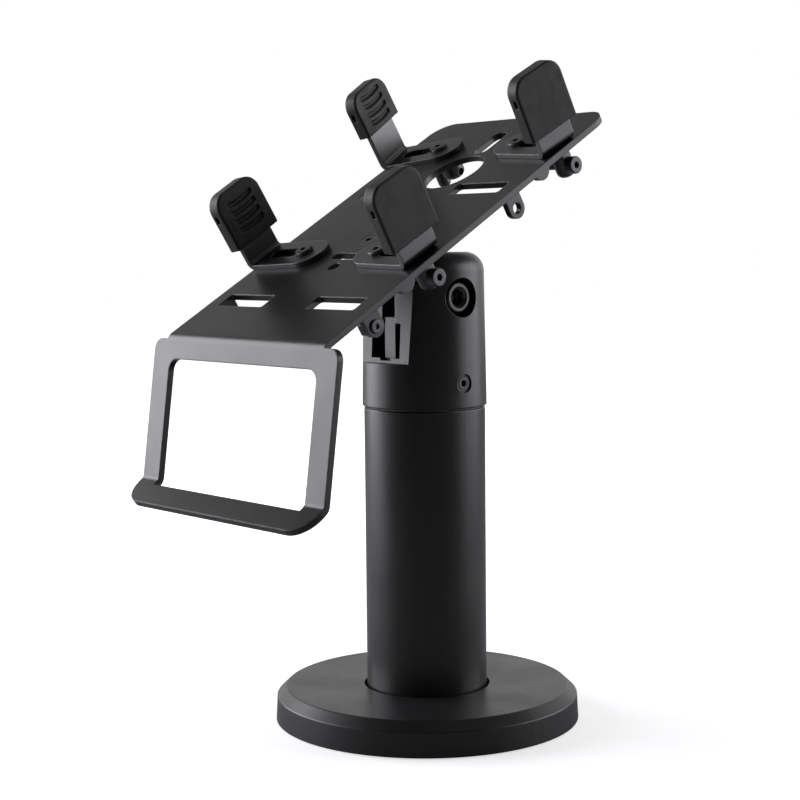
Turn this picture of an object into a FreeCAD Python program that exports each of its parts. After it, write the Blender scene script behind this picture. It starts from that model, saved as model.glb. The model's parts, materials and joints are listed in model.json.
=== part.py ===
import FreeCAD, Part
import math
import os

os.makedirs("parts", exist_ok=True)

# Stand for a card terminal: weighted base, pole, turning head, tilting grip plate.
# Millimetres.  Origin at the centre of the base's underside, +Z up,
# -Y towards the person using the terminal, +X to that person's right.

# ---------------------------------------------------------------- dimensions
# general
over = 1.0                      # how far a cutter runs past the face it opens
push_gap = 0.03                 # gap round a part that is pressed or screwed in
running_gap = 0.06              # gap round a part that turns

# base
base_radius = 60.7
base_height = 13.5
base_skirt = 0.4                # the cover's lower edge above the counter
base_wall_radius = 60.2
base_wall_height = 9.9
base_top_radius = 56.4
base_edge_round = 0.6
weight_radius = 57.2
weight_top = 9.5
cover_gap = 0.2
pad_sheet_radius = 57.0
pad_sheet = 1.6
cable_radius = 13.0
counter_hole_radius = 2.6
counter_hole_circle = 42.0
counter_hole_depth = 6.5
counter_hole_angles = (90.0, 210.0, 330.0)

# pole
pole_radius = 24.0
pole_wall = 2.0
pole_top = 125.0
pole_edge_round = 0.5
pole_gap_radius = 25.2
foot_height = 14.0
foot_screw_circle = 17.5
foot_screw_angles = (30.0, 150.0, 270.0)
foot_screw_reach = 9.0
swivel_ring_radius = 23.1
swivel_ring_thickness = 0.5

# swivel spigot, fixed in the pole, turning in the head
spigot_radius = 19.0
spigot_top = 138.5
spigot_depth = 22.0
spigot_lead = 0.8
groove_depth = 1.6
groove_height = 4.2

# head
head_bottom_radius = 24.65
head_bottom_lead = 0.6
head_shoulder_radius = 23.8
head_shoulder_height = 177.5
head_top = 186.0
head_top_round = 7.5
head_front = -18.8
head_front_low = -20.3
sill_height = 143.2
brow_height = 171.0
brow_run = 11.0
bore_headroom = 0.5
tine_slot_inner = 3.1
tine_slot_width = 5.2
tine_slot_floor = 145.2
rib_front = -17.7
rib_foot = 144.2
rib_top = 161.0
rib_boss_radius = 8.5

# set screw that holds the head on the spigot's groove
set_screw_height = 135.4
set_screw_angle = -2.3
set_screw_radius = 2.5
set_screw_span = (19.6, 23.8)
set_tip_radius = 1.8
set_socket_start = 21.4
set_seat_radius = 3.6
set_seat_start = 23.6

# tilt pivot, along X
pivot_y = -1.2
pivot_z = 168.5
pivot_radius = 4.0
pivot_head_radius = 5.9
pivot_head_face = 21.7
pivot_head_round = 0.8
pivot_socket = 6.0
pivot_socket_depth = 4.5
pivot_mouth_radius = 4.3
pivot_recess_radius = 7.6
pivot_recess_floor = 15.5
pivot_thread_end = 21.5
nut_width = 13.0
nut_height = 5.5
nut_recess_width = 13.3
tine_radius = 10.0
tine_thickness = 4.0
tine_clearance = 0.7
tine_front = -18.4
washer_thickness = 0.5
washer_radius = 9.4

# grip plate, drawn flat: X across, Y from the front bend to the rear edge,
# Z = 0 on its upper face; then tilted and lifted into place
rest_tilt = 30.7
bend_y = -88.7
bend_z = 155.2
sheet = 2.5
inside_bend = 2.0
plate_width = 96.0
plate_length = 167.3
rear_corner = 9.5
shoulder_depth = 1.0
loop_width = 112.0
loop_angle = 51.6
loop_length = 55.0
loop_band_top = 8.7
loop_leg = 10.7
loop_corner = 4.5
loop_window_corner = 4.5
lip_angle = 45.0
lip_length = 12.3
lip_window = 2.5
lip_window_corner = 2.2
lip_corner = 10.0
window_inner = 13.0
window_outer = 41.0
window_half = 4.0
window_corner = 1.2
window_front_y = 25.7
window_rear_y = 107.8
ear_depth = 9.3
ear_radius = 4.0
ear_hole_radius = 2.1
cable_hole_radius = 13.0
cable_hole_y = 122.5
rear_slot_half = 3.7
rear_slot_start = 141.0
rear_slot_end = 151.3
edge_tab_radius = 4.3
edge_tab_centre = -1.1
edge_tab_rows = (42.5, 122.6)
spare_hole_y = 50.5
spare_hole_radius = 2.6
guide_slot_half = 2.3
front_guide_slots = ((-6.0, 24.5), (-27.5, -17.5))
rear_guide_slots = ((10.5, 24.5), (-27.5, -17.5))
anchor_depth = 9.0
anchor_radius = 4.0

# tilt bracket flange, under the plate
flange_half = 18.0
flange_front_y = 66.5
flange_rear_y = 102.5
flange_thickness = 4.0
flange_corner = 4.0
bracket_screw_rows = (70.4, 97.0)

# countersunk socket screws of the foot and the bracket
m4_radius = 2.0
m4_head_radius = 3.9
m4_head_rim = 0.1
m4_head_cone = 1.9
m4_head_sink = 0.05
m4_socket = 2.5
m4_socket_depth = 1.6

# thin-headed screws and nuts in the front ears
ear_cap_radius = 2.6
ear_cap_height = 0.8
ear_cap_round = 0.4
ear_socket = 2.0
ear_nut_width = 6.6
ear_nut_height = 3.0
ear_thread_end = 5.0

# gripping arms
arm_sheet = 2.0
arm_inside_bend = 1.3
arm_width = 17.5
arm_height = 32.0
arm_foot = 36.0
arm_pin = 25.5
arm_lift = 0.05
arm_slot_half = 3.1
arm_slot_near = 9.9
arm_slot_far = 19.5
front_pair_y = 58.0
rear_pair_y = 140.0
front_right_post = 40.3
rear_right_post = 41.8

# slider under each arm: a neck in the guide slot, a strip and a round-footed post; the rear left one
# has a thick and a thin post instead, each given as radius, depth and distance inside the slider screw
neck_radius = 2.2
slider_gap = 0.1
strip_half = 3.5
strip_thickness = 2.0
post_radius = 3.9
post_foot = 13.4
post_foot_round = 0.66
post_flat = 3.2
thick_post = (4.6, 11.4, 3.1)
thin_post = (2.7, 15.2, -5.2)
clamp_depth = anchor_depth

# 3 mm screws: slider screws from above, long clamp screws along X
m3_radius = 1.5
m3_socket = 2.5
pin_head_radius = 3.6
pin_head_height = 1.4
pin_head_round = 0.6
pin_shoulder_radius = 2.0
pin_reach = 2.2
pin_bottom_gap = 0.3
clamp_head_radius = 3.4
clamp_head_length = 3.3
clamp_head_round = 0.5
clamp_socket_depth = 2.0
clamp_tip = 2.0
clamp_tip_round = 0.5

# rubber pads on the arms
pad_width = 24.0
pad_outer_skin = 1.5
pad_inner_skin = 2.4
pad_corner = 6.5
pad_edge_round = 0.7
pad_drop = 0.5
grip_groove_count = 4
grip_groove_pitch = 3.7
grip_groove_half = 0.8
grip_groove_depth = 0.8
grip_groove_bow = 30.0
grip_groove_reach = 6.8
side_window_top = 7.5
side_window_foot = 10.5
side_window_rim = 0.3

X_AXIS = FreeCAD.Vector(1, 0, 0)
Y_AXIS = FreeCAD.Vector(0, 1, 0)
Z_AXIS = FreeCAD.Vector(0, 0, 1)
ORIGIN = FreeCAD.Vector(0, 0, 0)
FAR = 400.0


# ---------------------------------------------------------------- helpers
def vec(x, y, z):
    return FreeCAD.Vector(x, y, z)


def box(x0, x1, y0, y1, z0, z1):
    return Part.makeBox(x1 - x0, y1 - y0, z1 - z0, vec(x0, y0, z0))


def rod_x(radius, x0, x1, y, z):
    return Part.makeCylinder(radius, x1 - x0, vec(x0, y, z), X_AXIS)


def rod_z(radius, z0, z1, x=0.0, y=0.0):
    return Part.makeCylinder(radius, z1 - z0, vec(x, y, z0), Z_AXIS)


def turned(profile):
    """A solid turned about Z from a closed list of (radius, height) corners."""
    points = [vec(r, 0, z) for r, z in profile]
    wire = Part.makePolygon(points + [points[0]])
    return Part.Face(wire).revolve(ORIGIN, Z_AXIS, 360)


def prism_x(profile, x0, x1):
    """A straight bar along X from a closed list of (y, z) corners."""
    points = [vec(x0, y, z) for y, z in profile]
    wire = Part.makePolygon(points + [points[0]])
    return Part.Face(wire).extrude(vec(x1 - x0, 0, 0))


def hex_prism(across_flats, length):
    """A hexagonal bar standing on the origin along +Z."""
    corner = across_flats / math.sqrt(3.0)
    points = []
    for side in range(7):
        angle = math.radians(60.0 * side)
        points.append(vec(corner * math.cos(angle), corner * math.sin(angle), 0))
    return Part.Face(Part.makePolygon(points)).extrude(vec(0, 0, length))


def obround_z(x0, x1, y0, y1, half, z0, z1):
    """A slot-shaped block between two end centres, along X or along Y."""
    ends = rod_z(half, z0, z1, x0, y0).fuse(rod_z(half, z0, z1, x1, y1))
    if y0 == y1:
        middle = box(x0, x1, y0 - half, y0 + half, z0, z1)
    else:
        middle = box(x0 - half, x0 + half, y0, y1, z0, z1)
    return ends.fuse(middle).removeSplitter()


def fillet_edges(shape, radius, wanted):
    edges = [edge for edge in shape.Edges if wanted(edge)]
    return shape.makeFillet(radius, edges)


def along(edge, axis):
    """True for a straight edge parallel to the axis."""
    if len(edge.Vertexes) != 2:
        return False
    start, end = (vertex.Point for vertex in edge.Vertexes)
    step = end.sub(start)
    if step.Length < 1e-6:
        return False
    if abs(step.Length - edge.Length) > 1e-4:
        return False
    return step.cross(axis).Length < 1e-5 * step.Length


def on_plate(shape):
    """Move a shape from the flat drawing of the plate to its tilted place."""
    placed = shape.copy()
    placed.rotate(ORIGIN, X_AXIS, rest_tilt)
    placed.translate(vec(0, bend_y, bend_z))
    return placed


def save(name, shapes):
    if not isinstance(shapes, list):
        shapes = [shapes]
    solids = []
    for shape in shapes:
        solids.extend(shape.removeSplitter().Solids)
    result = solids[0] if len(solids) == 1 else Part.makeCompound(solids)
    result.exportStep("parts/" + name + ".step")


# ---------------------------------------------------------------- base
def polar(radius, degrees):
    angle = math.radians(degrees)
    return radius * math.cos(angle), radius * math.sin(angle)


def countersunk_screw(length):
    """A countersunk screw pointing down, its head's face a little under Z = 0."""
    face = -m4_head_sink
    cone_top = face - m4_head_rim
    cone_foot = cone_top - m4_head_cone
    screw = rod_z(m4_head_radius, cone_top, face)
    screw = screw.fuse(Part.makeCone(
        m4_radius, m4_head_radius, m4_head_cone, vec(0, 0, cone_foot), Z_AXIS))
    screw = screw.fuse(rod_z(m4_radius, -length, cone_foot))
    socket = hex_prism(m4_socket, m4_socket_depth + over)
    socket.translate(vec(0, 0, face - m4_socket_depth))
    return screw.cut(socket)


def countersunk_hole(length):
    """The hole for countersunk_screw, open above Z = 0 and below its tip."""
    cone_top = -m4_head_sink - m4_head_rim
    cone_foot = cone_top - m4_head_cone
    seat = rod_z(m4_head_radius + push_gap, cone_top, over)
    seat = seat.fuse(Part.makeCone(
        m4_radius + push_gap, m4_head_radius + push_gap, m4_head_cone,
        vec(0, 0, cone_foot), Z_AXIS))
    return seat.fuse(rod_z(m4_radius + push_gap, -length - over, cone_foot))


base_cover = turned([
    (weight_radius + cover_gap, base_skirt), (base_radius, base_skirt),
    (base_wall_radius, base_wall_height), (base_top_radius, base_height),
    (pole_gap_radius, base_height), (pole_gap_radius, weight_top),
    (weight_radius + cover_gap, weight_top),
])
base_cover = fillet_edges(
    base_cover, base_edge_round,
    lambda e: len(e.Vertexes) == 1 and e.BoundBox.ZMin > base_wall_height - 0.1
    and e.BoundBox.XMax > pole_gap_radius + 1)

base_pad = rod_z(pad_sheet_radius, 0, pad_sheet).cut(rod_z(cable_radius, -over, pad_sheet + over))
base_weight = rod_z(weight_radius, pad_sheet, weight_top)
base_weight = base_weight.cut(rod_z(cable_radius, 0, weight_top + over))
for angle in counter_hole_angles:
    x, y = polar(counter_hole_circle, angle)
    base_pad = base_pad.cut(rod_z(counter_hole_radius + 1.5, -over, pad_sheet + over, x, y))
    base_weight = base_weight.cut(
        rod_z(counter_hole_radius, 0, pad_sheet + counter_hole_depth, x, y))

# pole foot: a thick ring pushed into the tube and drawn down on the weight
pole_bore = pole_radius - pole_wall
plug_radius = pole_bore - push_gap
foot_top = weight_top + foot_height
pole_foot = rod_z(plug_radius, weight_top, foot_top)
pole_foot = pole_foot.cut(rod_z(cable_radius, weight_top - over, foot_top + over))
foot_screws = []
foot_screw_length = weight_top + foot_screw_reach - pad_sheet
for angle in foot_screw_angles:
    x, y = polar(foot_screw_circle, angle)
    upturned = [countersunk_screw(foot_screw_length), countersunk_hole(foot_screw_length)]
    for shape in upturned:
        shape.rotate(ORIGIN, X_AXIS, 180)
        shape.translate(vec(x, y, pad_sheet))
    screw, hole = upturned
    foot_screws.append(screw)
    base_weight = base_weight.cut(hole)
    pole_foot = pole_foot.cut(hole)
    base_pad = base_pad.cut(rod_z(m4_head_radius + 0.7, -over, pad_sheet + over, x, y))

# ---------------------------------------------------------------- pole and spigot
pole_tube = rod_z(pole_radius, weight_top, pole_top).cut(rod_z(pole_bore, 0, pole_top + over))
pole_tube = fillet_edges(
    pole_tube, pole_edge_round,
    lambda e: e.BoundBox.ZMin > pole_top - 0.1 and e.BoundBox.XMax > pole_radius - 0.1
    and len(e.Vertexes) == 1)

groove_low = set_screw_height - groove_height / 2
groove_high = set_screw_height + groove_height / 2
groove_radius = spigot_radius - groove_depth
spigot_foot = pole_top - spigot_depth
swivel_spigot = turned([
    (cable_radius, spigot_foot), (plug_radius, spigot_foot), (plug_radius, pole_top),
    (spigot_radius, pole_top), (spigot_radius, groove_low), (groove_radius, groove_low),
    (groove_radius, groove_high), (spigot_radius, groove_high),
    (spigot_radius, spigot_top - spigot_lead), (spigot_radius - spigot_lead, spigot_top),
    (cable_radius, spigot_top),
])
head_bottom = pole_top + swivel_ring_thickness
swivel_ring = rod_z(swivel_ring_radius, pole_top, head_bottom)
swivel_ring = swivel_ring.cut(rod_z(spigot_radius + push_gap, pole_top - over, head_bottom + over))

# ---------------------------------------------------------------- head
head_shell = turned([
    (0, head_bottom), (head_bottom_radius - head_bottom_lead, head_bottom),
    (head_bottom_radius, head_bottom + head_bottom_lead),
    (head_shoulder_radius, head_shoulder_height), (head_shoulder_radius, head_top),
    (0, head_top),
])
head_shell = fillet_edges(
    head_shell, head_top_round,
    lambda e: len(e.Vertexes) == 1 and e.BoundBox.ZMin > head_top - 0.1)

# front flat with a sloping brow, above a small sill
front_cut = prism_x([
    (-FAR, sill_height), (head_front_low, sill_height), (head_front, brow_height),
    (head_front + brow_run, head_top + over), (-FAR, head_top + over),
], -FAR / 2, FAR / 2)
head_shell = head_shell.cut(front_cut)

# bore for the spigot
bore_top = spigot_top + bore_headroom
head_shell = head_shell.cut(rod_z(spigot_radius + running_gap, 0, bore_top))

# two slots for the bracket's tines, open at the front and top, leaving a rib
slot_back = pivot_y + tine_radius + tine_clearance
slot_outer = tine_slot_inner + tine_slot_width
for side in (-1, 1):
    low, high = sorted((side * tine_slot_inner, side * slot_outer))
    head_shell = head_shell.cut(box(low, high, -FAR / 4, slot_back, tine_slot_floor, FAR / 2))
    head_shell = head_shell.cut(box(low, high, 0, slot_back, bore_top - over, tine_slot_floor + over))

# the rib stands back from the flat; behind its low front a round boss takes the pivot
rib_cut = box(-tine_slot_inner, tine_slot_inner, -FAR / 4, rib_front, rib_foot, FAR / 2)
rib_cut = rib_cut.fuse(box(
    -tine_slot_inner, tine_slot_inner, -FAR / 4, slot_back, rib_top, FAR / 2))
rib_boss = rod_x(rib_boss_radius, -tine_slot_inner, tine_slot_inner, pivot_y, pivot_z)
rib_boss = rib_boss.fuse(box(
    -tine_slot_inner, tine_slot_inner, pivot_y - rib_boss_radius, slot_back, rib_top, pivot_z))
head_shell = head_shell.cut(rib_cut.cut(rib_boss))

# pivot bore, round recess for the bolt head, six-sided recess for the nut
head_shell = head_shell.cut(rod_x(pivot_radius + running_gap, -30, 30, pivot_y, pivot_z))
head_shell = head_shell.cut(rod_x(pivot_recess_radius, pivot_recess_floor, 30, pivot_y, pivot_z))
nut_recess = hex_prism(nut_recess_width, 20.0)
nut_recess.rotate(ORIGIN, Y_AXIS, -90)
nut_recess.translate(vec(-pivot_recess_floor, pivot_y, pivot_z))
head_shell = head_shell.cut(nut_recess)


def radial_rod(radius, inner, outer, height, degrees):
    rod = rod_x(radius, inner, outer, 0, height)
    rod.rotate(ORIGIN, Z_AXIS, degrees)
    return rod


set_start, set_end = set_screw_span
head_shell = head_shell.cut(radial_rod(
    set_screw_radius + push_gap, spigot_radius - 2 * over, set_end, set_screw_height, set_screw_angle))
head_shell = head_shell.cut(radial_rod(
    set_seat_radius, set_seat_start, 30, set_screw_height, set_screw_angle))

set_screw = radial_rod(set_screw_radius, set_start, set_end, set_screw_height, set_screw_angle)
set_tip = radial_rod(
    set_tip_radius, groove_radius + 0.1, set_start, set_screw_height, set_screw_angle)
set_socket = hex_prism(m4_socket, 3.0)
set_socket.rotate(ORIGIN, Y_AXIS, 90)
set_socket.translate(vec(set_socket_start, 0, set_screw_height))
set_socket.rotate(ORIGIN, Z_AXIS, set_screw_angle)
swivel_set_screw = set_screw.fuse(set_tip).cut(set_socket)

# pivot bolt with a six-sided socket, and its nut
pivot_bolt = rod_x(pivot_head_radius, pivot_recess_floor, pivot_head_face, pivot_y, pivot_z)
pivot_bolt = fillet_edges(
    pivot_bolt, pivot_head_round,
    lambda e: len(e.Vertexes) == 1 and e.BoundBox.XMin > pivot_head_face - 0.1)
pivot_bolt = pivot_bolt.fuse(rod_x(
    pivot_radius, -pivot_thread_end, pivot_recess_floor + over, pivot_y, pivot_z))
socket_cut = hex_prism(pivot_socket, pivot_socket_depth + over)
socket_cut.rotate(ORIGIN, Y_AXIS, 90)
socket_cut.translate(vec(pivot_head_face - pivot_socket_depth, pivot_y, pivot_z))
mouth_depth = pivot_mouth_radius - pivot_socket / 2
mouth_cut = Part.makeCone(
    pivot_socket / 2, pivot_mouth_radius, mouth_depth,
    vec(pivot_head_face - mouth_depth, pivot_y, pivot_z), X_AXIS)
pivot_bolt = pivot_bolt.cut(socket_cut).cut(mouth_cut)

pivot_nut = hex_prism(nut_width, nut_height)
pivot_nut.rotate(ORIGIN, Y_AXIS, -90)
pivot_nut.translate(vec(-pivot_recess_floor, pivot_y, pivot_z))
pivot_nut = pivot_nut.cut(rod_x(pivot_radius + push_gap, -30, 0, pivot_y, pivot_z))

# thin friction washers either side of each tine
friction_washers = []
for side in (-1, 1):
    for start in (tine_slot_inner, slot_outer - washer_thickness):
        low, high = sorted((side * start, side * (start + washer_thickness)))
        washer = rod_x(washer_radius, low, high, pivot_y, pivot_z)
        washer = washer.cut(rod_x(
            pivot_radius + running_gap, low - over, high + over, pivot_y, pivot_z))
        friction_washers.append(washer)

# ---------------------------------------------------------------- tilt bracket
# drawn in the plate's flat drawing, then tilted with it
tilt = math.radians(rest_tilt)


def flat_point(y, z):
    """Where a point of the stand's side view lies in the plate's flat drawing."""
    reach_y = y - bend_y
    reach_z = z - bend_z
    return (reach_y * math.cos(tilt) + reach_z * math.sin(tilt),
            reach_z * math.cos(tilt) - reach_y * math.sin(tilt))


pivot_flat_y, pivot_flat_z = flat_point(pivot_y, pivot_z)
flange_top = -sheet
flange_low = flange_top - flange_thickness
flange = box(-flange_half, flange_half, flange_front_y, flange_rear_y, flange_low, flange_top)
flange = fillet_edges(flange, flange_corner, lambda e: along(e, Z_AXIS))

# each tine is a round lug about the pivot, filled forward to stand flush in the head's front
tine_start = tine_slot_inner + (tine_slot_width - tine_thickness) / 2
tine_foot = pivot_z - tine_radius
tine_block = [flat_point(y, z) for y, z in (
    (tine_front, tine_foot), (pivot_y, tine_foot), (pivot_y, head_top), (tine_front, head_top + 10))]
tilt_bracket = flange
for side in (-1, 1):
    low, high = sorted((side * tine_start, side * (tine_start + tine_thickness)))
    tine = rod_x(tine_radius, low, high, pivot_flat_y, pivot_flat_z)
    tine = tine.fuse(box(low, high, pivot_flat_y - tine_radius, pivot_flat_y + tine_radius,
                         pivot_flat_z, flange_low + over))
    tine = tine.fuse(prism_x(tine_block, low, high))
    tine = tine.common(box(low, high, -FAR, FAR, -FAR, flange_low + over))
    tilt_bracket = tilt_bracket.fuse(tine)
tilt_bracket = tilt_bracket.removeSplitter()
tilt_bracket = tilt_bracket.cut(rod_x(
    pivot_radius + running_gap, -30, 30, pivot_flat_y, pivot_flat_z))
bracket_screws = []
bracket_holes = []
for row_y in bracket_screw_rows:
    hole = countersunk_hole(-flange_low)
    hole.translate(vec(0, row_y, 0))
    screw = countersunk_screw(-flange_low - push_gap)
    screw.translate(vec(0, row_y, 0))
    tilt_bracket = tilt_bracket.cut(hole)
    bracket_holes.append(hole)
    bracket_screws.append(screw)

# ---------------------------------------------------------------- grip plate
# side view of the sheet: plate, bend, hanging loop, bend, lip
plate_bend = math.radians(loop_angle)
lip_bend = math.radians(lip_angle)
outside_bend = inside_bend + sheet


def toward(point, angle, distance):
    """Step from a (y, z) point; angle 0 runs forward along -Y, positive turns down."""
    return (point[0] - distance * math.cos(angle), point[1] - distance * math.sin(angle))


def sheet_strip(start, heading, length):
    """A flat piece of sheet: its upper face starts at start and runs along heading."""
    corner_b = toward(start, heading, length)
    corner_c = toward(corner_b, heading + math.pi / 2, sheet)
    corner_d = toward(start, heading + math.pi / 2, sheet)
    return prism_x([start, corner_b, corner_c, corner_d], -loop_width / 2, loop_width / 2)


def ring_sector(centre, from_angle, sweep):
    """The bent part of the sheet, as a slice of a ring about an axis along X."""
    ring = rod_x(outside_bend, -loop_width / 2, loop_width / 2, centre[0], centre[1])
    ring = ring.cut(rod_x(inside_bend, -loop_width, loop_width, centre[0], centre[1]))
    first = toward(centre, from_angle, 3 * outside_bend)
    middle = toward(centre, from_angle + sweep / 2, 3 * outside_bend)
    last = toward(centre, from_angle + sweep, 3 * outside_bend)
    return ring.common(prism_x([centre, first, middle, last], -loop_width, loop_width))


# upper bend: outside of the bend is the plate's upper face
upper_set = outside_bend * math.tan(plate_bend / 2)
upper_centre = (upper_set, -outside_bend)
upper_bend = ring_sector(upper_centre, -math.pi / 2, plate_bend)
loop_start = toward((0.0, 0.0), plate_bend, upper_set)

# lower bend: inside of the bend is the loop's front face
lower_set = inside_bend * math.tan(lip_bend / 2)
loop_corner_point = toward((0.0, 0.0), plate_bend, loop_length)
loop_end = toward((0.0, 0.0), plate_bend, loop_length - lower_set)
lip_heading = plate_bend - lip_bend
lower_centre = toward(loop_end, plate_bend - math.pi / 2, inside_bend)
lower_bend = ring_sector(lower_centre, lip_heading + math.pi / 2, lip_bend)
lip_start = toward(loop_corner_point, lip_heading, lower_set)

plate_sheet = box(-loop_width / 2, loop_width / 2, upper_set, plate_length, -sheet, 0)
loop_sheet = sheet_strip(loop_start, plate_bend, loop_length - upper_set - lower_set)
lip_sheet = sheet_strip(lip_start, lip_heading, lip_length - lower_set)
lip_sheet = fillet_edges(
    lip_sheet, lip_corner,
    lambda e: not along(e, X_AXIS) and abs(e.Length - sheet) < 1e-3
    and e.BoundBox.YMax < toward(lip_start, lip_heading, 3)[0])
grip_plate = plate_sheet.fuse([upper_bend, loop_sheet, lower_bend, lip_sheet])
grip_plate = grip_plate.removeSplitter()


def loop_tool(shape):
    """Place a tool drawn flat at the loop: +Y up the loop, its front face at Z = 0."""
    tool = shape.copy()
    tool.rotate(ORIGIN, X_AXIS, loop_angle)
    return tool


def lip_tool(shape):
    tool = shape.copy()
    tool.rotate(ORIGIN, X_AXIS, loop_angle - lip_angle)
    tool.translate(vec(0, loop_corner_point[0], loop_corner_point[1]))
    return tool


# trim the plate to its own width, with a rounded shoulder at the top of the loop
half_plate = plate_width / 2
half_loop = loop_width / 2
for side in (-1, 1):
    low, high = sorted((side * half_plate, side * (half_loop + 5)))
    grip_plate = grip_plate.cut(box(low, high, shoulder_depth, FAR, -20, 20))
    shoulder_y = -loop_corner - shoulder_depth
    shoulder = box(low, high, shoulder_y, 6, -5, 5)
    centre_x = side * (half_loop - loop_corner)
    keep = rod_z(loop_corner, -6, 6, centre_x, shoulder_y)
    inner_low, inner_high = sorted((side * (half_plate - over), centre_x))
    keep = keep.fuse(box(inner_low, inner_high, -FAR / 4, -shoulder_depth, -6, 6))
    keep = keep.fuse(box(low, high, -FAR / 4, shoulder_y, -6, 6))
    grip_plate = grip_plate.cut(loop_tool(shoulder.cut(keep)))

# the loop's window runs through the lower bend on to the lip
window_half_width = half_loop - loop_leg
loop_window = box(-window_half_width, window_half_width, -loop_length - 2, -loop_band_top, -9, 3)
loop_window = fillet_edges(
    loop_window, loop_window_corner,
    lambda e: along(e, Z_AXIS) and e.BoundBox.YMax > -loop_band_top - 1)
lip_window_cut = box(-window_half_width, window_half_width, -lip_window, 5, -9, 3)
lip_window_cut = fillet_edges(
    lip_window_cut, lip_window_corner, lambda e: along(e, Z_AXIS) and e.BoundBox.YMax < 0)
grip_plate = grip_plate.cut(loop_tool(loop_window)).cut(lip_tool(lip_window_cut))

# rear corners
grip_plate = fillet_edges(
    grip_plate, rear_corner,
    lambda e: along(e, Z_AXIS) and e.BoundBox.YMin > plate_length - 0.1)

# four cable-tie windows, each with an ear folded down at its outer end
for side in (-1, 1):
    for centre_y in (window_front_y, window_rear_y):
        low, high = sorted((side * window_inner, side * window_outer))
        opening = box(low, high, centre_y - window_half, centre_y + window_half, -9, 3)
        opening = fillet_edges(opening, window_corner, lambda e: along(e, Z_AXIS))
        grip_plate = grip_plate.cut(opening)
        low, high = sorted((side * window_outer, side * (window_outer + sheet)))
        ear = rod_x(ear_radius, low, high, centre_y, -ear_depth)
        ear = ear.fuse(box(low, high, centre_y - ear_radius, centre_y + ear_radius, -ear_depth, -over))
        ear = ear.cut(rod_x(ear_hole_radius, low - over, high + over, centre_y, -ear_depth))
        grip_plate = grip_plate.fuse(ear)

# an anchor ear for the rear clamp screw, folded down from the inner end of its guide slot
anchor_end = rear_guide_slots[0][0] - guide_slot_half
anchor_span = (anchor_end - sheet, anchor_end)
anchor = rod_x(anchor_radius, *anchor_span, rear_pair_y, -anchor_depth)
anchor = anchor.fuse(box(
    *anchor_span, rear_pair_y - anchor_radius, rear_pair_y + anchor_radius, -anchor_depth, -over))
anchor = anchor.cut(rod_x(
    m3_radius + running_gap, anchor_end - 2 * sheet, anchor_end + over, rear_pair_y, -anchor_depth))
grip_plate = grip_plate.fuse(anchor)

# half-round tabs folded down along the plate's two long edges
for side in (-1, 1):
    low, high = sorted((side * (half_plate - sheet), side * half_plate))
    for centre_y in edge_tab_rows:
        tab = rod_x(edge_tab_radius, low, high, centre_y, edge_tab_centre)
        tab = tab.common(box(low, high, centre_y - 10, centre_y + 10, -20, -over))
        grip_plate = grip_plate.fuse(tab)

# guide slots for the arms, cable hole, rear slot, spare hole
for pair_y, spans in ((front_pair_y, front_guide_slots), (rear_pair_y, rear_guide_slots)):
    for start, end in spans:
        grip_plate = grip_plate.cut(obround_z(
            start, end, pair_y, pair_y, guide_slot_half, -9, 3))
grip_plate = grip_plate.cut(rod_z(cable_hole_radius, -9, 3, 0, cable_hole_y))
grip_plate = grip_plate.cut(obround_z(0, 0, rear_slot_start, rear_slot_end, rear_slot_half, -9, 3))
grip_plate = grip_plate.cut(rod_z(spare_hole_radius, -9, 3, 0, spare_hole_y))
for hole in bracket_holes:
    grip_plate = grip_plate.cut(hole)

# screws and nuts in the two front ears
ear_screws = []
ear_nuts = []
for side in (-1, 1):
    face = window_outer + sheet
    cap_top = face + ear_cap_height
    shank = rod_x(m4_radius, window_outer - ear_thread_end, face + push_gap, window_front_y, -ear_depth)
    cap = rod_x(ear_cap_radius, face + push_gap, cap_top, window_front_y, -ear_depth)
    cap = fillet_edges(
        cap, ear_cap_round, lambda e: len(e.Vertexes) == 1 and e.BoundBox.XMin > cap_top - 0.1)
    socket = hex_prism(ear_socket, 2 * over)
    socket.rotate(ORIGIN, Y_AXIS, 90)
    socket.translate(vec(face + push_gap, window_front_y, -ear_depth))
    screw = shank.fuse(cap).cut(socket)
    nut = hex_prism(ear_nut_width, ear_nut_height)
    nut.rotate(ORIGIN, Y_AXIS, 90)
    nut.translate(vec(window_outer - push_gap - ear_nut_height, window_front_y, -ear_depth))
    nut = nut.cut(rod_x(m4_radius + push_gap, 0, face, window_front_y, -ear_depth))
    if side < 0:
        screw = screw.mirror(ORIGIN, X_AXIS)
        nut = nut.mirror(ORIGIN, X_AXIS)
    ear_screws.append(screw)
    ear_nuts.append(nut)


# ---------------------------------------------------------------- gripping arms
# Each arm is drawn on the right with its outer face at X = 0 and its foot towards
# -X, in the plate's flat drawing with the pair's centre line at Y = 0.
arm_outside_bend = arm_inside_bend + arm_sheet
arm_bend_z = arm_lift + arm_outside_bend
arm_top = arm_lift + arm_sheet


def lean_out(shape, lean):
    leaned = shape.copy()
    leaned.rotate(vec(-arm_outside_bend, 0, arm_bend_z), Y_AXIS, lean)
    return leaned


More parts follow.
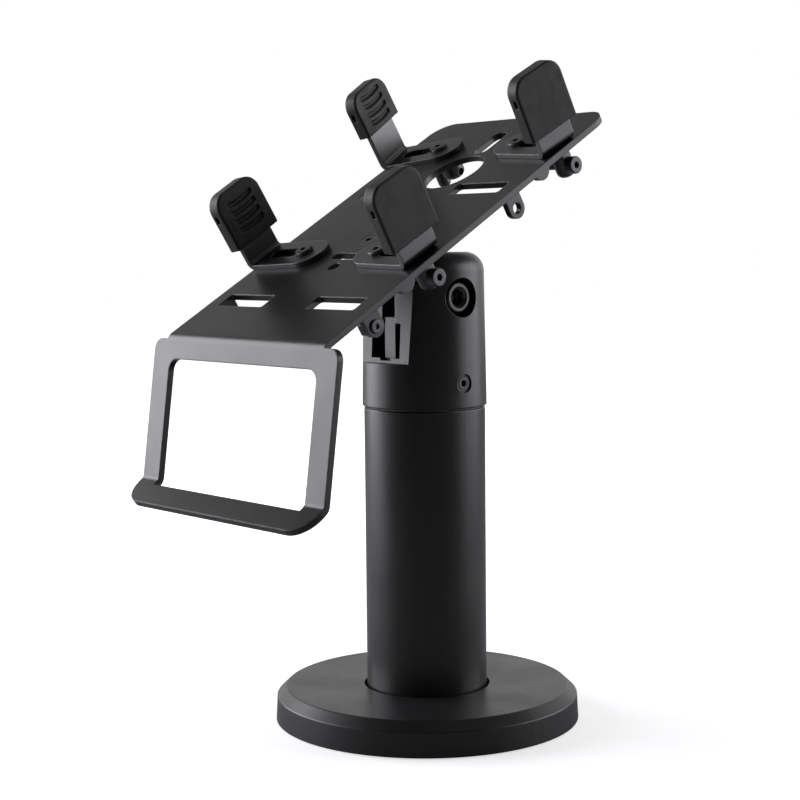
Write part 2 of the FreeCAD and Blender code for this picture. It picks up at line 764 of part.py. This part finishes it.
def draw_arm(lean):
    half = arm_width / 2
    tip = -arm_foot + half
    foot = box(tip, -arm_outside_bend, -half, half, arm_lift, arm_top)
    foot = foot.fuse(rod_z(half, arm_lift, arm_top, tip, 0))
    upright = lean_out(box(-arm_sheet, 0, -half, half, arm_bend_z, arm_height), lean)
    bend = Part.makeCylinder(arm_outside_bend, arm_width, vec(0, -half, 0), Y_AXIS)
    bend = bend.cut(Part.makeCylinder(
        arm_inside_bend, arm_width + 2 * over, vec(0, -half - over, 0), Y_AXIS))
    slice_points = [vec(0, -half, 0)]
    for angle in (-90.0, -45.0, -lean):
        x, z = polar(2 * arm_outside_bend, angle)
        slice_points.append(vec(x, -half, z))
    slice_face = Part.Face(Part.makePolygon(slice_points + [slice_points[0]]))
    bend = bend.common(slice_face.extrude(vec(0, arm_width, 0)))
    bend.translate(vec(-arm_outside_bend, 0, arm_bend_z))
    arm = foot.fuse([bend, upright]).removeSplitter()
    arm = arm.cut(obround_z(-arm_slot_far, -arm_slot_near, 0, 0, arm_slot_half, -over, arm_top + over))
    return arm.cut(rod_z(pin_shoulder_radius + push_gap, -over, arm_top + over, -arm_pin, 0))


def draw_pad(low, high, lean):
    half = pad_width / 2
    inner_face = -arm_sheet - pad_inner_skin
    pad = box(inner_face, pad_outer_skin, -half, half, low, high)
    pad = fillet_edges(
        pad, pad_corner,
        lambda e: along(e, X_AXIS) and e.BoundBox.ZMin > high - 0.1)
    pad = fillet_edges(
        pad, pad_edge_round,
        lambda e: e.BoundBox.ZMax > low + 0.1 and not along(e, X_AXIS))
    metal_half = arm_width / 2 + push_gap
    pad = pad.cut(box(
        -arm_sheet - push_gap, push_gap, -metal_half, metal_half,
        low - over, arm_height + push_gap))
    # curved finger grooves on the gripping face
    middle = (low + high) / 2 - pad_drop
    groove_floor = inner_face + grip_groove_depth
    for number in range(grip_groove_count):
        level = middle + (number - (grip_groove_count - 1) / 2) * grip_groove_pitch
        bow_z = level + grip_groove_bow
        outer = rod_x(grip_groove_bow + grip_groove_half, inner_face - over, groove_floor, 0, bow_z)
        inner = rod_x(grip_groove_bow - grip_groove_half, inner_face - 2 * over, groove_floor + over,
                      0, bow_z)
        reach = grip_groove_reach
        pad = pad.cut(outer.cut(inner).common(box(-10, 10, -reach, reach, level - 2, level + 3.5)))
    # small windows in the pad's two side edges, showing the metal
    pad = pad.cut(box(
        -arm_sheet + side_window_rim, -side_window_rim, -half - over, half + over,
        high - side_window_foot, high - side_window_top))
    return lean_out(pad, lean)


def draw_post(radius, depth, x):
    """Upright post under the plate with a rounded foot."""
    post = rod_z(radius, -depth, -sheet - slider_gap, x, 0)
    return fillet_edges(
        post, radius * post_foot_round,
        lambda e: len(e.Vertexes) == 1 and e.BoundBox.ZMax < -depth + 0.1)


def draw_slider(*posts):
    """Neck in the guide slot, strip under the plate, and posts with a hole along X for the clamp screw."""
    strip_top = -sheet - slider_gap
    strip_foot = strip_top - strip_thickness
    slider = rod_z(strip_half, strip_foot, strip_top, -arm_pin, 0)
    for radius, depth, post_x in posts:
        if post_x != -arm_pin:
            strip_start, strip_end = sorted((-arm_pin, post_x))
            slider = slider.fuse(box(strip_start, strip_end, -strip_half, strip_half, strip_foot, strip_top))
        slider = slider.fuse(draw_post(radius, depth, post_x))
    for radius, depth, post_x in posts:
        slider = slider.cut(rod_x(
            m3_radius + running_gap, post_x - 2 * radius, post_x + 2 * radius, 0, -clamp_depth))
    slider = slider.fuse(rod_z(neck_radius, strip_foot, arm_lift, -arm_pin, 0))
    pin_end = -sheet - pin_reach - pin_bottom_gap
    return slider.cut(rod_z(m3_radius + push_gap, pin_end, over, -arm_pin, 0))


def draw_right_slider(post_x):
    """The right slider's post has a flat on its outer side for the clamp screw's head."""
    flat = box(post_x + post_flat, over, -post_radius, post_radius, -post_foot - over, 0)
    return draw_slider((post_radius, post_foot, post_x)).cut(flat)


def draw_rear_left_slider():
    posts = [(radius, depth, -arm_pin - inside) for radius, depth, inside in (thick_post, thin_post)]
    return draw_slider(*posts)


def draw_pin():
    head_top_z = arm_top + pin_head_height
    pin = rod_z(pin_head_radius, arm_top + push_gap, head_top_z, -arm_pin, 0)
    pin = fillet_edges(
        pin, pin_head_round,
        lambda e: len(e.Vertexes) == 1 and e.BoundBox.ZMin > head_top_z - 0.1)
    pin = pin.fuse(rod_z(pin_shoulder_radius, arm_lift + push_gap, arm_top + push_gap, -arm_pin, 0))
    pin = pin.fuse(rod_z(m3_radius, -sheet - pin_reach, arm_top, -arm_pin, 0))
    socket = hex_prism(m3_socket, 2 * over)
    socket.translate(vec(-arm_pin, 0, arm_top + push_gap))
    return pin.cut(socket)


def draw_clamp_screw(post_x, length):
    """Long socket screw along X; its head bears on the flat of the right slider's post."""
    seat = post_x + post_flat + push_gap
    face = seat + clamp_head_length
    head = rod_x(clamp_head_radius, seat, face, 0, -clamp_depth)
    head = fillet_edges(
        head, clamp_head_round, lambda e: len(e.Vertexes) == 1 and e.BoundBox.XMin > face - 0.1)
    screw = head.fuse(rod_x(m3_radius, -length, seat + over, 0, -clamp_depth))
    screw = fillet_edges(
        screw, clamp_tip_round,
        lambda e: len(e.Vertexes) == 1 and e.BoundBox.XMax < -length + 0.1)
    socket = hex_prism(m3_socket, clamp_socket_depth + over)
    socket.rotate(ORIGIN, Y_AXIS, 90)
    socket.translate(vec(face - clamp_socket_depth, 0, -clamp_depth))
    return screw.cut(socket)


def at_arm(shape, outer_x, pair_y, swing=0.0):
    """Put an arm part at its outer-face position; the left side is a mirror image.

    Swing turns it about its slider screw, seen from above the plate.
    """
    placed = shape.copy()
    pin_x = outer_x - arm_pin
    if outer_x < 0:
        placed = placed.mirror(ORIGIN, X_AXIS)
        pin_x = outer_x + arm_pin
    placed.translate(vec(outer_x, pair_y, 0))
    placed.rotate(vec(pin_x, pair_y, 0), Z_AXIS, swing)
    return on_plate(placed)


# name, outer face, pair, lean, swing, pad's lower and upper edge
arm_layout = (
    ("front_left", -50.4, front_pair_y, 3.0, 4.5, 10.5, 33.6),
    ("front_right", 44.5, front_pair_y, 3.0, -3.0, 8.5, 33.8),
    ("rear_left", -49.4, rear_pair_y, 2.0, 11.5, 17.0, 35.6),
    ("rear_right", 47.0, rear_pair_y, 3.0, -7.0, 8.5, 33.8),
)
outer_face = {name: outer_x for name, outer_x, *rest in arm_layout}
post_offset = {
    "front_right": front_right_post - outer_face["front_right"],
    "rear_right": rear_right_post - outer_face["rear_right"],
}
sliders = {
    "front_left": draw_slider((post_radius, post_foot, -arm_pin)),
    "front_right": draw_right_slider(post_offset["front_right"]),
    "rear_left": draw_rear_left_slider(),
    "rear_right": draw_right_slider(post_offset["rear_right"]),
}
for name, outer_x, pair_y, lean, swing, pad_low, pad_high in arm_layout:
    save(name + "_arm", at_arm(draw_arm(lean), outer_x, pair_y, swing))
    save(name + "_grip_pad", at_arm(draw_pad(pad_low, pad_high, lean), outer_x, pair_y, swing))
    save(name + "_slider", at_arm(sliders[name], outer_x, pair_y))
    save(name + "_slider_screw", at_arm(draw_pin(), outer_x, pair_y))

# the front screw ends beyond the left slider's post, the rear one beyond the anchor ear
for row, pair_y, last_hold in (
        ("front", front_pair_y, outer_face["front_left"] + arm_pin - post_radius),
        ("rear", rear_pair_y, anchor_span[0])):
    right_arm = row + "_right"
    right_x = outer_face[right_arm]
    length = right_x - last_hold + clamp_tip
    save(row + "_clamp_screw", at_arm(draw_clamp_screw(post_offset[right_arm], length), right_x, pair_y))

# ---------------------------------------------------------------- write the rest
save("base_cover", base_cover)
save("base_weight", base_weight)
save("base_pad", base_pad)
save("pole_foot", pole_foot)
save("foot_screws", foot_screws)
save("pole_tube", pole_tube)
save("swivel_spigot", swivel_spigot)
save("swivel_ring", swivel_ring)
save("head_shell", head_shell)
save("swivel_set_screw", swivel_set_screw)
save("pivot_bolt", pivot_bolt)
save("pivot_nut", pivot_nut)
save("friction_washers", friction_washers)
save("tilt_bracket", on_plate(tilt_bracket))
save("bracket_screws", [on_plate(screw) for screw in bracket_screws])
save("grip_plate", on_plate(grip_plate))
save("ear_screws", [on_plate(screw) for screw in ear_screws])
save("ear_nuts", [on_plate(nut) for nut in ear_nuts])
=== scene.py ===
import json
import math

import bpy
from mathutils import Matrix, Vector

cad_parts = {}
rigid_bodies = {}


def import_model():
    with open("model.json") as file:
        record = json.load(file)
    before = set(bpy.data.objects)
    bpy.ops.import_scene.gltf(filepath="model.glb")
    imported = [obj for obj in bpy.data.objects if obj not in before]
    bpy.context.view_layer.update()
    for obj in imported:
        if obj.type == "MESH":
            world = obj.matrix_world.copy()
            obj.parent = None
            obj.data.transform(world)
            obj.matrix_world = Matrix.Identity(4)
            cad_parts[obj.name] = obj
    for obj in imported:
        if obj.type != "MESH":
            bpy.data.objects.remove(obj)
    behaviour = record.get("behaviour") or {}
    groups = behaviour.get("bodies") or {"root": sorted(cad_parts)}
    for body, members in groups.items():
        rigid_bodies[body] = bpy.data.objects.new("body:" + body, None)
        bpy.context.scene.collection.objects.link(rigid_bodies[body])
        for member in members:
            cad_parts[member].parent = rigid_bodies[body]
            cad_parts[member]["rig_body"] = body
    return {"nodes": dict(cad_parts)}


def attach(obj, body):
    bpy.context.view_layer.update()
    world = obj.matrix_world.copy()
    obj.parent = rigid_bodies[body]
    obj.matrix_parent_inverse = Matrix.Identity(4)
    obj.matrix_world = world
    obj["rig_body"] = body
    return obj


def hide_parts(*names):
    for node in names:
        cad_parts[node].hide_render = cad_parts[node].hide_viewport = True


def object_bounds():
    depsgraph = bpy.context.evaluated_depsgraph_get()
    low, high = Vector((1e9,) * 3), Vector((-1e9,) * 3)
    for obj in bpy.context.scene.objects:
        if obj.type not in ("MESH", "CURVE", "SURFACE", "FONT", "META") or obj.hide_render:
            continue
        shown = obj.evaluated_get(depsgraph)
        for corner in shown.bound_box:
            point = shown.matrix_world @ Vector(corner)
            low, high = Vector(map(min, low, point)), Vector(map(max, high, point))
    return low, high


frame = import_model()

cad_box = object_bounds()
nodes = frame["nodes"]
scene = bpy.context.scene

# Looks of a card-terminal stand.  Metres and degrees; an azimuth of 0 is the -Y side and 90 the +X side.
MM = 0.001

# ---------------------------------------------------------------- driving values
# camera
camera_azimuth = 48.09
camera_distance = 0.6663
camera_height = 0.1882
look_azimuth = 48.93
look_down = 5.2
camera_roll = -0.567
camera_lens = 75.78
camera_clip = (0.05, 50.0)

# studio
rig_distance = 1.35
left_panel_turn = -103.0
left_panel_size = (1.3, 1.05)
left_panel_light = 5.9
right_panel_turn = 97.0
right_panel_size = (1.2, 1.0)
right_panel_light = 3.0
top_panel_light = 1.2
top_panel_size = (0.9, 0.9)
top_panel_height = 1.5
top_panel_setback = 0.3
side_panel_clearance = 0.01
light_colour = (1.0, 0.98, 1.03)
floor_size = 8.0
floor_colour = (0.8, 0.8, 0.81)
floor_glow = (0.60, 1.0)
floor_glow_span = (0.14, 0.50)
floor_seen_by_object = (0.40, 0.40, 0.41)

# surroundings as the object's reflections find them: the cosines of two angles and the brightness at each,
# measured from straight behind the object and from straight up
backdrop_falloff = (-0.3, 0.6, 0.06, 1.0)
overhead_falloff = (0.28, 0.64, 1.0, 0.12)

# rubber pads
rubber_voxel = 0.3 * MM
rubber_soften_rounds = 6
rubber_soften_factor = 0.5

# sizes of the marks in the finishes
paint_cloud_size = 22 * MM
paint_speck_size = 1.1 * MM
paint_edge_patch_size = 3.5 * MM
turning_mark_size = 0.25 * MM
steel_blotch_size = 2.6 * MM
zinc_flake_size = 4 * MM
zinc_cloud_size = 9 * MM
zinc_grain_size = 0.5 * MM
rubber_dust_size = 5 * MM
nylon_grain_size = 0.6 * MM
nylon_cloud_size = 8 * MM
floor_mottle_size = 30 * MM
floor_mottle_share = 0.04
floor_mottle_shade = 0.94

# colours of rubbed edges, the paint's edge colour being partly wear and partly a painted highlight, and how
# far a normal turns there: the cosines where an edge begins and is full
paint_wear_and_highlight = (0.20, 0.20, 0.205)
rubbed_steel = (0.32, 0.32, 0.33)
rubbed_zinc = (0.72, 0.72, 0.74)
rubbed_rubber = (0.10, 0.10, 0.10)
edge_cosines = (0.995, 0.8)


def bearing(azimuth, elevation=0.0):
    """Unit vector from the object towards an azimuth and elevation."""
    a = math.radians(azimuth)
    e = math.radians(elevation)
    return Vector((math.sin(a) * math.cos(e), -math.cos(a) * math.cos(e), math.sin(e)))


# ---------------------------------------------------------------- material building
class Graph:
    """A short way to write a material's node tree."""

    def __init__(self, name):
        self.material = bpy.data.materials.new(name)
        self.material.use_nodes = True
        self.tree = self.material.node_tree
        self.tree.nodes.clear()
        self.place = self.add("ShaderNodeTexCoord").outputs["Object"]

    def add(self, kind, values=None, **settings):
        node = self.tree.nodes.new(kind)
        for key, value in settings.items():
            setattr(node, key, value)
        for key, value in (values or {}).items():
            if isinstance(value, bpy.types.NodeSocket):
                self.tree.links.new(value, node.inputs[key])
            else:
                node.inputs[key].default_value = value
        return node

    def math(self, operation, a, b=0.0, clamp=False):
        node = self.add("ShaderNodeMath", {0: a, 1: b}, operation=operation, use_clamp=clamp)
        return node.outputs[0]

    def noise(self, size, detail=2.0, stretch=(1.0, 1.0, 1.0), rough=0.5):
        """Noise from 0 to 1 whose features are about size metres across."""
        scaled = self.add("ShaderNodeMapping", {"Vector": self.place, "Scale": stretch})
        node = self.add("ShaderNodeTexNoise", {
            "Vector": scaled.outputs[0], "Scale": 1.0 / size, "Detail": detail, "Roughness": rough})
        return node.outputs[0]

    def spread(self, value, low, high, to_low=0.0, to_high=1.0):
        node = self.add("ShaderNodeMapRange", {
            "Value": value, "From Min": low, "From Max": high, "To Min": to_low, "To Max": to_high})
        return node.outputs["Result"]

    def mix(self, share, a, b):
        node = self.add("ShaderNodeMix", {"Factor": share}, data_type="RGBA")
        for socket, colour in ((node.inputs["A"], a), (node.inputs["B"], b)):
            if isinstance(colour, bpy.types.NodeSocket):
                self.tree.links.new(colour, socket)
            else:
                socket.default_value = (*colour, 1.0)
        return node.outputs["Result"]

    def rounded(self, radius):
        """The normal of edges rounded by radius, and a 0 to 1 mask of where they are."""
        soft = self.add("ShaderNodeBevel", {"Radius": radius}, samples=4).outputs[0]
        flat = self.add("ShaderNodeNewGeometry").outputs["Normal"]
        dot = self.add("ShaderNodeVectorMath", {0: soft, 1: flat}, operation="DOT_PRODUCT")
        mask = self.spread(dot.outputs["Value"], *edge_cosines)
        return soft, mask

    def bump(self, height, depth, normal):
        node = self.add("ShaderNodeBump", {"Height": height, "Distance": depth, "Normal": normal})
        return node.outputs[0]

    def finish(self, values):
        shader = self.add("ShaderNodeBsdfPrincipled", values)
        self.add("ShaderNodeOutputMaterial", {"Surface": shader.outputs[0]})
        return self.material


def powder_coat(name, colour, roughness, grain=0.45 * MM, depth=0.012 * MM, edge=0.35 * MM,
                wear_and_highlight=0.10, specular=0.5):
    """Satin black coating: fine pebbled grain, cloudy gloss, edges painted paler in patches, partly as wear
    and partly as a painted highlight.
    """
    g = Graph(name)
    pebbles = g.noise(grain, detail=3.0, rough=0.6)
    clouds = g.noise(paint_cloud_size, detail=4.0)
    specks = g.spread(g.noise(paint_speck_size, detail=1.0), 0.70, 0.78)
    soft, on_edge = g.rounded(edge)
    patches = g.spread(g.noise(paint_edge_patch_size, detail=5.0), 0.30, 0.75)
    wear_and_highlight_mask = g.math("MULTIPLY", on_edge, patches, clamp=True)
    lighter = [c * 1.5 + 0.001 for c in colour]
    base = g.mix(clouds, colour, lighter)
    base = g.mix(g.math("MULTIPLY", specks, 0.25), base, [c + 0.03 for c in colour])
    # edges painted paler in patches: partly wear, partly a painted highlight
    base = g.mix(g.math("MULTIPLY", wear_and_highlight_mask, wear_and_highlight * 2), base, paint_wear_and_highlight)
    gloss = g.spread(clouds, 0.3, 0.7, roughness - 0.035, roughness + 0.045)
    gloss = g.math("SUBTRACT", gloss, g.math("MULTIPLY", wear_and_highlight_mask, 0.08))
    return g.finish({
        "Base Color": base,
        "Roughness": gloss,
        "Specular IOR Level": specular,
        "Normal": g.bump(pebbles, depth, soft),
    })


def dark_steel(name, colour, roughness, metallic=0.75, edge=0.25 * MM, bright=0.5):
    """Oiled black fastener steel: fine turning marks, brighter rubbed edges."""
    g = Graph(name)
    marks = g.noise(turning_mark_size, detail=2.0, stretch=(0.25, 1.0, 1.0))
    blotches = g.noise(steel_blotch_size, detail=4.0)
    soft, on_edge = g.rounded(edge)
    rub = g.math("MULTIPLY", on_edge, g.spread(blotches, 0.25, 0.65), clamp=True)
    base = g.mix(blotches, colour, [c * 1.8 for c in colour])
    base = g.mix(g.math("MULTIPLY", rub, bright), base, rubbed_steel)
    gloss = g.spread(blotches, 0.3, 0.7, roughness - 0.05, roughness + 0.08)
    return g.finish({
        "Base Color": base,
        "Roughness": gloss,
        "Metallic": metallic,
        "Normal": g.bump(marks, depth=0.006 * MM, normal=soft),
    })


def zinc_plate(name):
    """Plated steel: a pale crystalline flake under a dull lustre."""
    g = Graph(name)
    flakes = g.add("ShaderNodeTexVoronoi", {"Vector": g.place, "Scale": 1.0 / zinc_flake_size})
    clouds = g.noise(zinc_cloud_size, detail=4.0)
    soft, on_edge = g.rounded(0.3 * MM)
    flake_tone = g.spread(flakes.outputs["Color"], 0.0, 1.0)
    base = g.mix(g.math("MULTIPLY", flake_tone, 0.35), (0.42, 0.43, 0.45), (0.60, 0.61, 0.63))
    base = g.mix(g.math("MULTIPLY", on_edge, 0.4), base, rubbed_zinc)
    return g.finish({
        "Base Color": base,
        "Roughness": g.spread(clouds, 0.3, 0.7, 0.32, 0.48),
        "Metallic": 1.0,
        "Normal": g.bump(g.noise(zinc_grain_size), depth=0.005 * MM, normal=soft),
    })


def rubber(name, colour, roughness, grain=0.5 * MM, depth=0.02 * MM):
    """Moulded rubber: matte, faintly grainy, dusty on its high spots."""
    g = Graph(name)
    skin = g.noise(grain, detail=4.0, rough=0.65)
    dust = g.spread(g.noise(rubber_dust_size, detail=6.0, rough=0.6), 0.42, 0.72)
    soft, on_edge = g.rounded(0.3 * MM)
    base = g.mix(g.math("MULTIPLY", dust, 0.3), colour, [c * 1.5 for c in colour])
    base = g.mix(g.math("MULTIPLY", on_edge, 0.12), base, rubbed_rubber)
    return g.finish({
        "Base Color": base,
        "Roughness": g.spread(dust, 0.0, 1.0, roughness - 0.06, roughness + 0.06),
        "Specular IOR Level": 0.28,
        "Sheen Weight": 0.06,
        "Sheen Roughness": 0.5,
        "Normal": g.bump(skin, depth, soft),
    })


def moulded_nylon(name, colour):
    """Plain moulded plastic with a faint flow grain."""
    g = Graph(name)
    grain = g.noise(nylon_grain_size, detail=3.0)
    clouds = g.noise(nylon_cloud_size, detail=3.0)
    soft, on_edge = g.rounded(0.25 * MM)
    base = g.mix(clouds, colour, [c * 1.25 for c in colour])
    base = g.mix(g.math("MULTIPLY", on_edge, 0.2), base, [min(1.0, c * 1.8) for c in colour])
    return g.finish({
        "Base Color": base,
        "Roughness": g.spread(clouds, 0.3, 0.7, 0.45, 0.58),
        "Normal": g.bump(grain, depth=0.008 * MM, normal=soft),
    })


finishes = {
    "base_paint": powder_coat("base_paint", (0.009, 0.0088, 0.0100), 0.38, grain=0.5 * MM),
    "pole_paint": powder_coat("pole_paint", (0.007, 0.007, 0.0075), 0.33, grain=0.4 * MM, depth=0.006 * MM),
    "head_paint": powder_coat("head_paint", (0.007, 0.007, 0.0075), 0.36, grain=0.4 * MM, depth=0.009 * MM),
    # the plate and arms get strongly paler edges: partly wear, partly a painted highlight
    "plate_paint": powder_coat("plate_paint", (0.007, 0.007, 0.0075), 0.34, grain=0.35 * MM,
                               depth=0.008 * MM, edge=0.75 * MM, wear_and_highlight=0.50, specular=0.42),
    "arm_paint": powder_coat("arm_paint", (0.007, 0.007, 0.0075), 0.32, grain=0.35 * MM,
                             depth=0.007 * MM, edge=0.6 * MM, wear_and_highlight=0.48, specular=0.8),
    "black_oxide": dark_steel("black_oxide", (0.045, 0.045, 0.047), 0.36, edge=0.3 * MM, bright=0.7),
    "zinc_steel": zinc_plate("zinc_steel"),
    "base_rubber": rubber("base_rubber", (0.020, 0.020, 0.020), 0.72),
    "grip_rubber": rubber("grip_rubber", (0.012, 0.012, 0.0125), 0.55),
    "grey_nylon": moulded_nylon("grey_nylon", (0.14, 0.14, 0.14)),
}
for node in nodes.values():
    for slot in node.material_slots:
        slot.material = finishes[slot.material.name.split(".")[0]]


# ---------------------------------------------------------------- rubber grip pads
def applied(piece):
    """Replace a piece's mesh with the result of its modifiers."""
    graph = bpy.context.evaluated_depsgraph_get()
    mesh = bpy.data.meshes.new_from_object(piece.evaluated_get(graph), depsgraph=graph)
    piece.modifiers.clear()
    piece.data = mesh


def soft_pad(node_name):
    """A moulded rubber sleeve over an arm: the pad's form with every edge softened."""
    node = nodes[node_name]
    piece = bpy.data.objects.new(node_name + "_rubber", node.data.copy())
    scene.collection.objects.link(piece)
    remesh = piece.modifiers.new("remesh", "REMESH")
    remesh.mode = "VOXEL"
    remesh.voxel_size = rubber_voxel
    remesh.use_smooth_shade = True
    soften = piece.modifiers.new("soften", "SMOOTH")
    soften.factor = rubber_soften_factor
    soften.iterations = rubber_soften_rounds
    applied(piece)
    piece.data.materials.clear()
    piece.data.materials.append(finishes["grip_rubber"])
    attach(piece, node["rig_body"])
    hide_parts(node_name)


for arm in ("front_left", "front_right", "rear_left", "rear_right"):
    soft_pad(arm + "_grip_pad")


# ---------------------------------------------------------------- floor, light, camera
def floor_material():
    """Pale matte floor that glows for the camera, fully so away from the object.

    The object's own reflections find it a plain grey that doesn't glow.
    """
    g = Graph("studio_floor")
    mottle = g.math("MULTIPLY", g.noise(floor_mottle_size, detail=3.0), floor_mottle_share)
    tone = g.mix(mottle, floor_colour, [c * floor_mottle_shade for c in floor_colour])
    seen = g.add("ShaderNodeLightPath").outputs["Is Camera Ray"]
    distance = g.add("ShaderNodeVectorMath", {0: g.place}, operation="LENGTH").outputs["Value"]
    glow = g.spread(distance, *floor_glow_span, *floor_glow)
    return g.finish({
        "Base Color": g.mix(seen, floor_seen_by_object, tone),
        "Roughness": 0.9,
        "Specular IOR Level": 0.2,
        "Emission Color": (1.0, 1.0, 1.0, 1.0),
        "Emission Strength": g.math("MULTIPLY", seen, glow),
    })


def make_floor():
    half = floor_size / 2
    mesh = bpy.data.meshes.new("studio_floor")
    corners = [(-half, -half, 0), (half, -half, 0), (half, half, 0), (-half, half, 0)]
    mesh.from_pydata(corners, [], [(0, 1, 2, 3)])
    mesh.materials.append(floor_material())
    floor = bpy.data.objects.new("studio_floor", mesh)
    scene.collection.objects.link(floor)


def make_panel(name, place, target, size, radiance):
    """A flat soft light of even radiance, facing the target."""
    light = bpy.data.lights.new(name, "AREA")
    light.shape = "RECTANGLE"
    light.size, light.size_y = size
    light.energy = radiance * math.pi * size[0] * size[1]
    light.color = light_colour
    lamp = bpy.data.objects.new(name, light)
    lamp.location = place
    lamp.rotation_euler = (target - place).to_track_quat("-Z", "Y").to_euler()
    lamp.visible_camera = False
    scene.collection.objects.link(lamp)


def make_lights():
    middle = (cad_box[0] + cad_box[1]) / 2
    for name, turn, size, radiance in (
            ("left_panel", left_panel_turn, left_panel_size, left_panel_light),
            ("right_panel", right_panel_turn, right_panel_size, right_panel_light)):
        place = bearing(camera_azimuth + turn) * rig_distance
        place.z = size[1] / 2 + side_panel_clearance
        target = Vector((0.0, 0.0, place.z))
        make_panel(name, place, target, size, radiance)
    away = bearing(camera_azimuth + 180) * top_panel_setback
    over = Vector((middle.x, middle.y, top_panel_height)) + away
    make_panel("top_panel", over, middle, top_panel_size, top_panel_light)


def make_world():
    """White for the camera; for the object, bright behind it and dim towards the camera and overhead."""
    world = bpy.data.worlds.new("studio")
    world.use_nodes = True
    scene.world = world
    tree = world.node_tree
    tree.nodes.clear()
    place = tree.nodes.new("ShaderNodeTexCoord").outputs["Generated"]
    away = bearing(camera_azimuth + 180)

    def facing(direction):
        node = tree.nodes.new("ShaderNodeVectorMath")
        node.operation = "DOT_PRODUCT"
        tree.links.new(place, node.inputs[0])
        node.inputs[1].default_value = direction
        return node.outputs["Value"]

    def spread(value, low, high, to_low, to_high):
        node = tree.nodes.new("ShaderNodeMapRange")
        for key, number in (("From Min", low), ("From Max", high), ("To Min", to_low), ("To Max", to_high)):
            node.inputs[key].default_value = number
        tree.links.new(value, node.inputs["Value"])
        return node.outputs["Result"]

    behind = spread(facing(away), *backdrop_falloff)
    low_down = spread(facing(Vector((0.0, 0.0, 1.0))), *overhead_falloff)
    product = tree.nodes.new("ShaderNodeMath")
    product.operation = "MULTIPLY"
    tree.links.new(behind, product.inputs[0])
    tree.links.new(low_down, product.inputs[1])
    seen = tree.nodes.new("ShaderNodeLightPath").outputs["Is Camera Ray"]
    strength = tree.nodes.new("ShaderNodeMath")
    strength.operation = "MAXIMUM"
    tree.links.new(product.outputs[0], strength.inputs[0])
    tree.links.new(seen, strength.inputs[1])
    glow = tree.nodes.new("ShaderNodeBackground")
    glow.inputs["Color"].default_value = (1.0, 1.0, 1.0, 1.0)
    tree.links.new(strength.outputs[0], glow.inputs["Strength"])
    output = tree.nodes.new("ShaderNodeOutputWorld")
    tree.links.new(glow.outputs[0], output.inputs["Surface"])


def make_camera():
    data = bpy.data.cameras.new("camera")
    data.lens = camera_lens
    data.clip_start, data.clip_end = camera_clip
    camera = bpy.data.objects.new("camera", data)
    scene.collection.objects.link(camera)
    forward = -bearing(look_azimuth, look_down)
    right = forward.cross(Vector((0.0, 0.0, 1.0))).normalized()
    up = right.cross(forward)
    level = Matrix((right, up, -forward)).transposed()
    turn = Matrix.Rotation(math.radians(camera_roll), 3, "Z")
    place = bearing(camera_azimuth) * camera_distance
    place.z = camera_height
    camera.matrix_world = Matrix.Translation(place) @ (level @ turn).to_4x4()
    scene.camera = camera


make_floor()
make_lights()
make_world()
make_camera()
scene.view_settings.view_transform = "Standard"
